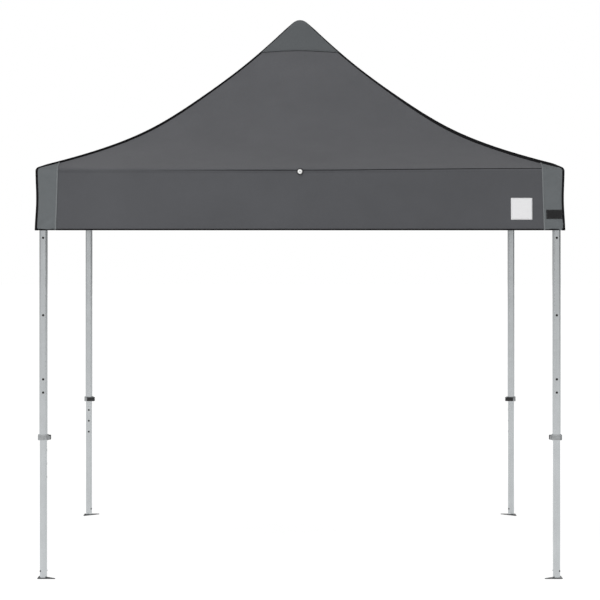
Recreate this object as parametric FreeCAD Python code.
"""Folding canopy tent: fabric roof on four telescoping legs and a scissor frame.

Millimetres, +Z up, origin on the ground under the centre of the roof.
Each side of the frame, and each corner, is the front one turned about the
vertical axis. The frame is modelled open and locked.
"""

import FreeCAD, Part
import math
import os

V = FreeCAD.Vector
UP = V(0, 0, 1)

# The four sides and the four corners, each a quarter turn after the one before
SIDES = ("front", "right", "back", "left")
CORNERS = ("front_right", "back_right", "back_left", "front_left")

# Modelling allowances
PAST = 1.0  # a cutting solid runs this far past the faces that it cuts
INTO = 1.0  # joined solids run this far into each other
REACH = 60.0  # longer than any hole through one wall
CLOSE = 0.1  # two places nearer than this are one

# Scissor frame: heights of the pivots and where they stand
TOP_Z = 2300.0  # upper pivots
LOW_Z = 2020.0  # lower pivots
LEG_AXIS = 1475.0  # leg axes, from the centre planes
MID_PIVOT = 26.0  # side pivots, from the middle of a side
LEG_PIVOT = 48.0  # pivots beside a leg, from its axis
HUB_PIVOT = 38.0  # pivots round the hubs, from the mast's axis
CROSS_PIVOT = 36.0  # cross bars' outer pivots, inside the side's plane

# Scissor bars: flat oval tube, in two layers either side of the truss plane
BAR_WIDTH = 32.0
BAR_THICK = 15.0
BAR_WALL = 1.5
LAYER_GAP = 1.0  # from the truss plane to the near face of a bar
BOLT_R = 4.0
BOLT_FIT = 0.08  # running clearance of a bolt in a bar
HEAD_R = 7.0
HEAD_THICK = 4.0
NUT_GAP = 0.3
LUG_R = 14.0
LUG_NEAR = 0.4  # a lug's faces, from the truss plane
LUG_FAR = 8.6

# Centre
HUB_HALF = 21.0
HUB_TALL = 40.0
MAST_R = 17.0
MAST_FIT = 0.6  # clearance of the mast in the upper hub
MAST_WALL = 2.0
MAST_LOW_Z = 2000.0
MAST_JOINT_Z = 2720.0
MAST_TOP_R = 14.5
MAST_TOP_LOW_Z = 2340.0
CAP_LOW_Z = 3262.0
CAP_NECK = 46.0
CAP_WALL = 4.0
CAP_STEP = 1.0  # from the dome's rim in to the neck

# Canopy: one profile from the peak to the hem, used along both axes
FABRIC = 1.5
PEAK_R = 66.0
PEAK_CENTRE_Z = 3267.2
ROOF = ((315.0, 3050.0), (600.0, 2812.0), (880.0, 2613.0), (1150.0, 2482.0))
PEAK_TURN = math.radians(46.2)
EAVE = (1500.0, 2364.0)
EAVE_FALL = math.radians(16.7)
EAVE_HALF = 1516.0
HEM_HALF = 1520.0
HEM_Z = 2001.0
KNOB_Z = 2338.0
KNOB_HOLE_R = 7.0
KNOB_STEM_R = 5.0
KNOB_R = 13.0
KNOB_THICK = 8.0
KNOB_ROUND = 2.5
KNOB_REACH = LEG_AXIS + 50.0
POST_HALF = 12.0  # the plate that holds the knob's stem
DOME_GAP = 3.5  # from the fabric's inner face to the mast's dome cap

# Legs: square tube with chamfered corners, telescoping
OUTER_LEG = 45.0
OUTER_CHAMFER = 9.0
OUTER_WALL = 2.2
OUTER_LOW_Z = 797.0
OUTER_TOP_Z = 2335.0
INNER_LEG = 40.0
INNER_CHAMFER = 7.5
INNER_WALL = 1.8
INNER_TOP_Z = 1400.0
LEG_GAP = 0.4  # from the inner tube to the collar's lip
LEG_HOLE_R = 4.0
LEG_HOLES_Z = (1958.0, 1513.0, 1145.0, 1069.0)
RIVET_R = 1.6
RIVETS_Z = (851.0, 926.0, 1001.0)
SETTING_Z = 810.0  # height setting in use, and the ones under it
SETTING_STEP = 76.0
SETTINGS = 4

# Corner bracket, slider and height adjuster round a leg
BRACKET = 58.0
BRACKET_CHAMFER = 12.0
BRACKET_LOW_Z = 2280.0
BRACKET_TOP_Z = 2345.0
BRACKET_BEVEL = 3.0
SLIDER_GAP = 0.4
SLIDER_LOW_Z = 2004.0
SLIDER_TOP_Z = 2050.0
PIN_Z = 2038.0
PIN_R = 3.5
PIN_FIT = 0.1  # in the slider's boss
PIN_LEG_FIT = 0.5  # in the leg's hole
PIN_SHORT = 0.3  # from its tip to the leg's face
PIN_BOSS_R = 9.0
PIN_BOSS_START = 28.0
PIN_BOSS_END = 46.0
PIN_KNOB_R = 10.0
PIN_KNOB_GAP = 0.5
PIN_KNOB_END = 58.0
PIN_KNOB_ROUND = 2.0
COLLAR = 61.0
COLLAR_CHAMFER = 12.0
COLLAR_LOW_Z = 795.0
COLLAR_TOP_Z = 827.0
COLLAR_LIP = 2.0
LATCH_LOW_Z = 797.0
LATCH_TOP_Z = 822.0
LATCH_FAR = 40.0
LATCH_NEAR_END = 10.0
LATCH_GAP = 0.3
LATCH_ROUND = 5.0
LATCH_PIN_R = 3.6
LATCH_PIN_FIT = 0.4  # in the collar and the outer tube
LATCH_PIN_SHORT = 0.5  # from its tip to the inner tube

# Foot plate: a right triangle whose square corner points outward
FOOT_THICK = 4.0
FOOT_OUT = 33.0
FOOT_IN = 78.5  # to the sharp corner, before rounding
FOOT_ROUND = 6.0
SPIGOT_TOP_Z = 64.0
SPIGOT_FIT = 0.2
SPIGOT_CHAMFER = 6.5
FOOT_BOLT_Z = 43.0
FOOT_BOLT_R = 3.0
FOOT_BOLT_FIT = 0.2
FOOT_HEAD_R = 5.0
FOOT_HEAD_THICK = 2.0
STAKE_R = 5.5
STAKE_IN = 46.0
STAKE_OUT = 22.0

INWARD = V(-1, 1, 0).normalize()  # from the front right leg towards the centre
ACROSS = V(1, 1, 0).normalize()

nodes = {}


# ---- plain solids -------------------------------------------------------


def block(x, y, z):
    """A box from three (low, high) pairs."""
    low = V(min(x), min(y), min(z))
    size = V(max(x), max(y), max(z)) - low
    return Part.makeBox(size.x, size.y, size.z, low)


def rod(start, end, radius):
    """A round rod between two points."""
    return Part.makeCylinder(radius, (end - start).Length, start, end - start)


def octagon(width, chamfer, z):
    """Corner points of a square with cut corners."""
    half = width / 2
    inner = half - chamfer
    quarter = ((half, -inner), (half, inner))
    points = []
    for turn in range(4):
        c, s = round(math.cos(turn * math.pi / 2)), round(math.sin(turn * math.pi / 2))
        points += [V(c * x - s * y, s * x + c * y, z) for x, y in quarter]
    return points


def prism(points, height):
    """A straight prism, upward from a closed outline."""
    face = Part.Face(Part.makePolygon(points + points[:1]))
    return face.extrude(V(0, 0, height))


def tube_octagon(width, chamfer, low, high):
    """An eight-sided prism round the vertical axis."""
    return prism(octagon(width, chamfer, low), high - low)


def fused(*shapes):
    """Shapes joined into one, with needless edges removed."""
    return shapes[0].multiFuse(list(shapes[1:])).removeSplitter()


def at_corner(shape):
    """A shape made round the origin, moved to the front right leg."""
    moved = shape.copy()
    moved.translate(V(LEG_AXIS, -LEG_AXIS, 0))
    return moved


def at_front(shape):
    """A shape made round the truss plane y = 0, moved to the front side."""
    moved = shape.copy()
    moved.translate(V(0, -LEG_AXIS, 0))
    return moved


def crosswise(shape):
    """A shape made along +X, turned to run out to the front."""
    return shape.rotated(V(0, 0, 0), UP, -90)


def other_arm(shape):
    """The mirror of a shape on the front arm of the corner, on its other arm."""
    return shape.mirror(V(0, 0, 0), ACROSS)


def add_round(names, shapes):
    """Adds a group of solids four times, each a quarter turn on."""
    for turn, name in enumerate(names):
        nodes[name] = [s.rotated(V(0, 0, 0), UP, 90 * turn) for s in shapes]


# ---- scissor bars -------------------------------------------------------


def bar(start, end, layer):
    """A flat oval tube between two (x, z) pivots, with three pivot holes.

    layer is +1 or -1: the side of the plane y = 0 on which it lies.
    """
    across, rise = end[0] - start[0], end[1] - start[1]
    length = math.hypot(across, rise)
    half = BAR_WIDTH / 2
    near = LAYER_GAP if layer > 0 else -LAYER_GAP - BAR_THICK
    ends = [
        Part.makeCylinder(half, BAR_THICK, V(x, near, 0), V(0, 1, 0))
        for x in (0, length)
    ]
    middle = block((0, length), (near, near + BAR_THICK), (-half, half))
    shape = fused(middle, *ends)
    inner = (near + BAR_WALL, near + BAR_THICK - BAR_WALL)
    bore = half - BAR_WALL
    shape = shape.cut(block((-half - PAST, length + half + PAST), inner, (-bore, bore)))
    for x in (0, length / 2, length):
        low = V(x, near - PAST, 0)
        high = V(x, near + BAR_THICK + PAST, 0)
        shape = shape.cut(rod(low, high, BOLT_R + BOLT_FIT))
    shape.rotate(V(0, 0, 0), V(0, 1, 0), -math.degrees(math.atan2(rise, across)))
    shape.translate(V(start[0], 0, start[1]))
    return shape


def bolt(x, z, lug_side, lug_far):
    """A pivot bolt along Y: its head on the lug, its nut beyond the bar.

    lug_side is +1 or -1: the side of y = 0 on which the lug lies.
    """
    head = lug_side * lug_far
    nut = -lug_side * (LAYER_GAP + BAR_THICK + NUT_GAP)
    parts = (
        rod(V(x, head, z), V(x, nut, z), BOLT_R),
        rod(V(x, head, z), V(x, head + lug_side * HEAD_THICK, z), HEAD_R),
        rod(V(x, nut, z), V(x, nut - lug_side * HEAD_THICK, z), HEAD_R),
    )
    return fused(*parts)


def scissor_bolt(start, end):
    """The bolt where two bars cross, held in the bar on the plus side."""
    x, z = (start[0] + end[0]) / 2, (start[1] + end[1]) / 2
    return bolt(x, z, 1, LAYER_GAP + BAR_THICK)


def lug(x, root, z, side):
    """A rounded ear in the plane of the truss, from x = root to the pivot at x."""
    faces = (side * LUG_NEAR, side * LUG_FAR)
    ear = rod(V(x, faces[0], z), V(x, faces[1], z), LUG_R)
    return ear.fuse(block((x, root), faces, (z - LUG_R, z + LUG_R)))


def bored(shape, places):
    """Bolt holes along Y at (x, z) places."""
    for x, z in places:
        shape = shape.cut(rod(V(x, -REACH, z), V(x, REACH, z), BOLT_R))
    return shape


def side_bars():
    """Two scissors on each side: A falls to the slider, B rises to the leg top."""
    far = LEG_AXIS - LEG_PIVOT
    for sign, hand in ((1, "right"), (-1, "left")):
        a = (sign * MID_PIVOT, TOP_Z), (sign * far, LOW_Z)
        b = (sign * MID_PIVOT, LOW_Z), (sign * far, TOP_Z)
        fall = [bar(*a, -1), scissor_bolt(*a).mirror(V(0, 0, 0), V(0, 1, 0))]
        rise = [bar(*b, 1)]
        names = [f"side_bar_falling_{hand}_{side}" for side in SIDES]
        add_round(names, [at_front(s) for s in fall])
        names = [f"side_bar_rising_{hand}_{side}" for side in SIDES]
        add_round(names, [at_front(s) for s in rise])


def cross_bars():
    """The scissor from the hubs to the middle of each side."""
    far = LEG_AXIS - CROSS_PIVOT
    fall = (HUB_PIVOT, TOP_Z), (far, LOW_Z)
    rise = (HUB_PIVOT, LOW_Z), (far, TOP_Z)
    falling = [bar(*fall, 1), scissor_bolt(*fall)]
    add_round([f"cross_bar_falling_{s}" for s in SIDES], [crosswise(s) for s in falling])
    add_round([f"cross_bar_rising_{s}" for s in SIDES], [crosswise(bar(*rise, -1))])


# ---- brackets in the middle of each side ----------------------------------


def mid_plate(z, side):
    """The plate that holds the two side bars of a bracket."""
    return fused(
        lug(MID_PIVOT, 0, z, side),
        lug(-MID_PIVOT, 0, z, side),
    )


def cross_lug(z, near, side):
    """The ear for a cross bar, from the side's plate in to the cross pivot."""
    ear = lug(-CROSS_PIVOT, near, z, side)
    return crosswise(ear)


def mid_bracket(z, plate_side, ear_side):
    """A bracket in the truss plane y = 0, with its three pivot bolts."""
    ear_root = LUG_FAR if plate_side < 0 else -LUG_NEAR
    shape = fused(mid_plate(z, plate_side), cross_lug(z, ear_root, ear_side))
    shape = bored(shape, ((MID_PIVOT, z), (-MID_PIVOT, z)))
    ends = (V(-REACH, CROSS_PIVOT, z), V(REACH, CROSS_PIVOT, z))
    shape = shape.cut(rod(*ends, BOLT_R))
    bolts = [bolt(x, z, plate_side, LUG_FAR) for x in (MID_PIVOT, -MID_PIVOT)]
    bolts.append(crosswise(bolt(-CROSS_PIVOT, z, ear_side, LUG_FAR)))
    return [shape, *bolts]


def knob():
    """The stem through the canopy and its round head, round the side's middle."""
    tip = LEG_AXIS - KNOB_REACH
    back = V(0, tip + KNOB_THICK, KNOB_Z)
    stem = rod(V(0, LUG_NEAR, KNOB_Z), back, KNOB_STEM_R)
    head = rod(back, V(0, tip, KNOB_Z), KNOB_R)
    rim = [e for e in head.Edges if abs(e.CenterOfMass.y - tip) < CLOSE]
    return [stem, head.makeFillet(KNOB_ROUND, rim)]


def mid_brackets():
    """Upper brackets carry the canopy's knobs; lower brackets hang under them."""
    upper = mid_bracket(TOP_Z, 1, 1)
    post = block((-POST_HALF, POST_HALF), (LUG_NEAR, LUG_FAR), (TOP_Z, KNOB_Z + POST_HALF))
    upper[0] = fused(upper[0], post)
    lower = mid_bracket(LOW_Z, -1, -1)
    upper += knob()
    add_round([f"mid_bracket_upper_{s}" for s in SIDES], [at_front(s) for s in upper])
    add_round([f"mid_bracket_lower_{s}" for s in SIDES], [at_front(s) for s in lower])


# ---- hubs and mast ------------------------------------------------------


def hub(z, ear_side, bore):
    """A square block on the mast with an ear and a bolt on each side."""
    half = HUB_TALL / 2
    sides = (-HUB_HALF, HUB_HALF)
    shape = block(sides, sides, (z - half, z + half))
    ear = lug(HUB_PIVOT, HUB_HALF - INTO, z, ear_side)
    ear = bored(ear, ((HUB_PIVOT, z),))
    pin = bolt(HUB_PIVOT, z, ear_side, LUG_FAR)
    bolts = []
    for turn in range(4):
        shape = shape.fuse(ear.rotated(V(0, 0, 0), UP, 90 * turn))
        bolts.append(pin.rotated(V(0, 0, 0), UP, 90 * turn))
    shape = shape.removeSplitter()
    shape = shape.cut(rod(V(0, 0, z - half - PAST), V(0, 0, z + half + PAST), bore))
    return [shape, *bolts]


def round_tube(radius, wall, low, high):
    """A vertical round tube on the mast's axis."""
    outer = rod(V(0, 0, low), V(0, 0, high), radius)
    return outer.cut(rod(V(0, 0, low - PAST), V(0, 0, high + PAST), radius - wall))


def dome_cap():
    """The hollow rounded cap that the peak of the canopy rests on."""
    radius = PEAK_R - FABRIC - DOME_GAP
    rim = radius * math.sin(PEAK_TURN)
    centre = V(0, 0, PEAK_CENTRE_Z)
    low = V(0, 0, CAP_LOW_Z)
    level = low + V(0, 0, CAP_NECK)
    slab = rod(level, level + V(0, 0, radius), rim)
    neck = Part.makeCone(MAST_TOP_R + CAP_WALL, rim - CAP_STEP, CAP_NECK, low)
    outside = fused(Part.makeSphere(radius, centre).common(slab), neck)
    hollow = rim - CAP_STEP - CAP_WALL
    slab = rod(level, level + V(0, 0, radius), hollow)
    bore = MAST_TOP_R - MAST_WALL
    inside = (
        Part.makeSphere(radius - CAP_WALL, centre).common(slab),
        Part.makeCone(bore, hollow, CAP_NECK, low),
    )
    return outside.cut(fused(*inside))


def hubs_and_mast():
    """Upper hub, lower hub with the mast's lower tube, and the mast's top."""
    nodes["upper_hub"] = hub(TOP_Z, -1, MAST_R + MAST_FIT)
    lower = hub(LOW_Z, 1, MAST_R)
    lower.append(round_tube(MAST_R, MAST_WALL, MAST_LOW_Z, MAST_JOINT_Z))
    nodes["lower_hub"] = lower
    tube = round_tube(MAST_TOP_R, MAST_WALL, MAST_TOP_LOW_Z, CAP_LOW_Z)
    nodes["mast_top"] = [tube, dome_cap()]


# ---- canopy -------------------------------------------------------------


def roof_curve():
    """The roof's line from the end of the rounded peak to the eave."""
    start = (PEAK_R * math.sin(PEAK_TURN), PEAK_CENTRE_Z + PEAK_R * math.cos(PEAK_TURN))
    points = [V(x, 0, z) for x, z in (start, *ROOF, EAVE)]
    curve = Part.BSplineCurve()
    first = V(math.cos(PEAK_TURN), 0, -math.sin(PEAK_TURN))
    last = V(math.cos(EAVE_FALL), 0, -math.sin(EAVE_FALL))
    curve.interpolate(Points=points, InitialTangent=first, FinalTangent=last)
    return curve, points


def canopy_outline(inset):
    """Half the canopy's section: peak arc, roof, eave arc and valance.

    inset is how far inside the fabric's outer face the line runs.
    """
    curve, points = roof_curve()
    moved = []
    for p in points:
        along = curve.tangent(curve.parameter(p))[0]
        moved.append(p - V(-along.z, 0, along.x) * inset)
    roof = Part.BSplineCurve()
    first = V(math.cos(PEAK_TURN), 0, -math.sin(PEAK_TURN))
    last = V(math.cos(EAVE_FALL), 0, -math.sin(EAVE_FALL))
    roof.interpolate(Points=moved, InitialTangent=first, FinalTangent=last)
    radius = PEAK_R - inset
    turn = PEAK_TURN / 2
    crown = V(radius * math.sin(turn), 0, PEAK_CENTRE_Z + radius * math.cos(turn))
    peak = Part.Arc(V(0, 0, PEAK_CENTRE_Z + radius), crown, moved[0])
    full = (EAVE_HALF - EAVE[0]) / (1 - math.sin(EAVE_FALL))
    middle = V(EAVE_HALF - full, 0, EAVE[1] - full * math.cos(EAVE_FALL))
    inner = full - inset
    bend = (math.pi / 2 - EAVE_FALL) / 2
    on_bend = middle + V(math.cos(bend), 0, math.sin(bend)) * inner
    eave = Part.Arc(moved[-1], on_bend, middle + V(inner, 0, 0))
    below = HEM_Z - (PAST if inset else 0)
    valance = Part.LineSegment(middle + V(inner, 0, 0), V(HEM_HALF - inset, 0, below))
    return [peak.toShape(), roof.toShape(), eave.toShape(), valance.toShape()], below


def canopy_solid(inset):
    """What lies under the roof: the section run along both axes and crossed."""
    edges, below = canopy_outline(inset)
    half = HEM_HALF + PAST
    bottom = Part.LineSegment(V(HEM_HALF - inset, 0, below), V(0, 0, below))
    axis = Part.LineSegment(V(0, 0, below), V(0, 0, PEAK_CENTRE_Z + PEAK_R - inset))
    wire = Part.Wire([*edges, bottom.toShape(), axis.toShape()])
    side = Part.Face(wire)
    side.translate(V(0, -half, 0))
    right = side.extrude(V(0, 2 * half, 0))
    whole = right.fuse(right.mirror(V(0, 0, 0), V(1, 0, 0))).removeSplitter()
    return whole.common(whole.rotated(V(0, 0, 0), UP, 90))


def canopy():
    """The fabric shell, with a hole in each side for its knob."""
    shell = canopy_solid(0).cut(canopy_solid(FABRIC))
    reach = HEM_HALF + PAST
    for end in (V(reach, 0, 0), V(0, reach, 0)):
        level = V(0, 0, KNOB_Z)
        shell = shell.cut(rod(level - end, level + end, KNOB_HOLE_R))
    nodes["canopy"] = [shell]


# ---- legs ---------------------------------------------------------------


def bracket_lugs(z, side):
    """The two ears of a corner piece, one along each side of the tent."""
    ear = lug(-LEG_PIVOT, INTO - BRACKET / 2, z, side)
    ear = bored(ear, ((-LEG_PIVOT, z),))
    pin = bolt(-LEG_PIVOT, z, side, LUG_FAR)
    return [ear, other_arm(ear)], [pin, other_arm(pin)]


def outer_leg():
    """The outer tube, with the bracket on top and the adjuster's collar below."""
    bore = OUTER_LEG - 2 * OUTER_WALL
    cut = OUTER_CHAMFER - OUTER_WALL * (2 - math.sqrt(2))
    tube = tube_octagon(OUTER_LEG, OUTER_CHAMFER, OUTER_LOW_Z, OUTER_TOP_Z)
    tube = tube.cut(tube_octagon(bore, cut, OUTER_LOW_Z - PAST, OUTER_TOP_Z + PAST))
    places = [(z, LEG_HOLE_R) for z in LEG_HOLES_Z] + [(z, RIVET_R) for z in RIVETS_Z]
    for z, radius in places:
        tube = tube.cut(rod(V(0, -OUTER_LEG, z), V(0, 0, z), radius))
        tube = tube.cut(rod(V(0, 0, z), V(OUTER_LEG, 0, z), radius))
    level = V(0, 0, PIN_Z)
    tube = tube.cut(rod(level, level + INWARD * OUTER_LEG, PIN_R + PIN_LEG_FIT))
    collar = adjuster_collar()
    through = rod(V(0, 0, SETTING_Z), V(0, COLLAR, SETTING_Z), LATCH_PIN_R + LATCH_PIN_FIT)
    tube = tube.cut(through)
    collar = collar.cut(through)
    return [tube, collar, *corner_bracket()]


def corner_bracket():
    """The cap on top of a leg, with the ears for the rising side bars."""
    shape = tube_octagon(BRACKET, BRACKET_CHAMFER, BRACKET_LOW_Z, BRACKET_TOP_Z)
    ears, pins = bracket_lugs(TOP_Z, -1)
    shape = fused(shape, *ears)
    shape = shape.cut(tube_octagon(OUTER_LEG, OUTER_CHAMFER, BRACKET_LOW_Z - PAST, OUTER_TOP_Z))
    rim = [e for e in shape.Edges if abs(e.BoundBox.ZMin - BRACKET_TOP_Z) < CLOSE]
    return [shape.makeChamfer(BRACKET_BEVEL, rim), *pins]


def adjuster_collar():
    """The collar at the foot of the outer tube, with a lip under the tube."""
    lip_z = COLLAR_LOW_Z + COLLAR_LIP
    shape = tube_octagon(COLLAR, COLLAR_CHAMFER, COLLAR_LOW_Z, COLLAR_TOP_Z)
    shape = shape.cut(tube_octagon(OUTER_LEG, OUTER_CHAMFER, lip_z, COLLAR_TOP_Z + PAST))
    clear = INNER_LEG + 2 * LEG_GAP
    return shape.cut(tube_octagon(clear, INNER_CHAMFER, COLLAR_LOW_Z - PAST, lip_z + PAST))


def inner_leg():
    """The inner tube, with the holes of the height settings down one flat."""
    bore = INNER_LEG - 2 * INNER_WALL
    cut = INNER_CHAMFER - INNER_WALL * (2 - math.sqrt(2))
    tube = tube_octagon(INNER_LEG, INNER_CHAMFER, FOOT_THICK, INNER_TOP_Z)
    tube = tube.cut(tube_octagon(bore, cut, 0, INNER_TOP_Z + PAST))
    for step in range(SETTINGS):
        z = SETTING_Z - step * SETTING_STEP
        tube = tube.cut(rod(V(0, 0, z), V(0, INNER_LEG, z), LEG_HOLE_R))
    reach = INWARD * INNER_LEG
    level = V(0, 0, FOOT_BOLT_Z)
    return [tube.cut(rod(level - reach, level + reach, FOOT_BOLT_R + FOOT_BOLT_FIT))]


def slider():
    """The ring that runs on the outer tube, with ears and a pull-pin's boss."""
    shape = tube_octagon(BRACKET, BRACKET_CHAMFER, SLIDER_LOW_Z, SLIDER_TOP_Z)
    ears, pins = bracket_lugs(LOW_Z, 1)
    level = V(0, 0, PIN_Z)
    boss = rod(level + INWARD * PIN_BOSS_START, level + INWARD * PIN_BOSS_END, PIN_BOSS_R)
    shape = fused(shape, boss, *ears)
    bore = OUTER_LEG + 2 * SLIDER_GAP
    cut = OUTER_CHAMFER + SLIDER_GAP * (2 - math.sqrt(2))
    shape = shape.cut(tube_octagon(bore, cut, SLIDER_LOW_Z - PAST, SLIDER_TOP_Z + PAST))
    return [shape.cut(rod(level, level + INWARD * REACH, PIN_R + PIN_FIT)), *pins]


def slider_pin():
    """The pull-pin of a slider, with its knob."""
    level = V(0, 0, PIN_Z)
    tip = (OUTER_LEG - OUTER_CHAMFER) / math.sqrt(2) + PIN_SHORT
    back = level + INWARD * (PIN_BOSS_END + PIN_KNOB_GAP)
    stem = rod(level + INWARD * tip, back + INWARD * INTO, PIN_R)
    head = rod(back, level + INWARD * PIN_KNOB_END, PIN_KNOB_R)
    rims = [e for e in head.Edges if e.Curve.TypeId == "Part::GeomCircle"]
    return [fused(stem, head.makeFillet(PIN_KNOB_ROUND, rims))]


def adjuster_latch():
    """The L-shaped latch round the collar's inner corner, with its lock pin."""
    near = COLLAR / 2 + LATCH_GAP
    tall = (LATCH_LOW_Z, LATCH_TOP_Z)
    arm = block((-LATCH_FAR, LATCH_NEAR_END), (near, LATCH_FAR), tall)
    shape = fused(arm, other_arm(arm))
    middle = V(-LATCH_FAR, LATCH_FAR, sum(tall) / 2)
    corner = [e for e in shape.Edges if (e.CenterOfMass - middle).Length < CLOSE]
    shape = shape.makeFillet(LATCH_ROUND, corner)
    low = V(0, INNER_LEG / 2 + LATCH_PIN_SHORT, SETTING_Z)
    return [fused(shape, rod(low, V(0, near + INTO, SETTING_Z), LATCH_PIN_R))]


def foot_plate():
    """The triangular foot, its spigot in the inner tube and its cross bolt."""
    corners = (V(FOOT_OUT, -FOOT_OUT, 0), V(FOOT_OUT, FOOT_IN, 0), V(-FOOT_IN, -FOOT_OUT, 0))
    plate = prism(list(corners), FOOT_THICK)
    uprights = [e for e in plate.Edges if abs(e.Length - FOOT_THICK) < CLOSE]
    plate = plate.makeFillet(FOOT_ROUND, uprights)
    width = INNER_LEG - 2 * INNER_WALL - SPIGOT_FIT
    spigot = tube_octagon(width, SPIGOT_CHAMFER, FOOT_THICK - INTO, SPIGOT_TOP_Z)
    shape = fused(plate, spigot)
    for x, y in ((-STAKE_IN, -STAKE_OUT), (STAKE_OUT, STAKE_IN)):
        shape = shape.cut(rod(V(x, y, -PAST), V(x, y, FOOT_THICK + PAST), STAKE_R))
    face = (INNER_LEG - INNER_CHAMFER) / math.sqrt(2)
    level = V(0, 0, FOOT_BOLT_Z)
    shank = rod(level - INWARD * face, level + INWARD * face, FOOT_BOLT_R)
    heads = []
    for way in (INWARD, -INWARD):
        seat = level + way * face
        heads.append(rod(seat, seat + way * FOOT_HEAD_THICK, FOOT_HEAD_R))
    shape = shape.cut(rod(level - INWARD * REACH, level + INWARD * REACH, FOOT_BOLT_R))
    return [shape, fused(shank, *heads)]


def corners():
    """Each leg with what it carries, in all four corners."""
    groups = {
        "outer_leg": outer_leg(),
        "inner_leg": inner_leg(),
        "foot_plate": foot_plate(),
        "slider": slider(),
        "slider_pin": slider_pin(),
        "adjuster_latch": adjuster_latch(),
    }
    for kind, shapes in groups.items():
        add_round([f"{kind}_{c}" for c in CORNERS], [at_corner(s) for s in shapes])


def write_steps():
    """One STEP file for each node."""
    os.makedirs("parts", exist_ok=True)
    for name, shapes in nodes.items():
        solids = [solid for shape in shapes for solid in shape.Solids]
        whole = solids[0] if len(solids) == 1 else Part.makeCompound(solids)
        if not whole.isValid():
            raise ValueError(f"{name} is not a valid shape")
        whole.exportStep(f"parts/{name}.step")
        print(name, len(solids), round(whole.Volume / 1000, 1), "cm3")


side_bars()
cross_bars()
mid_brackets()
hubs_and_mast()
canopy()
corners()
write_steps()
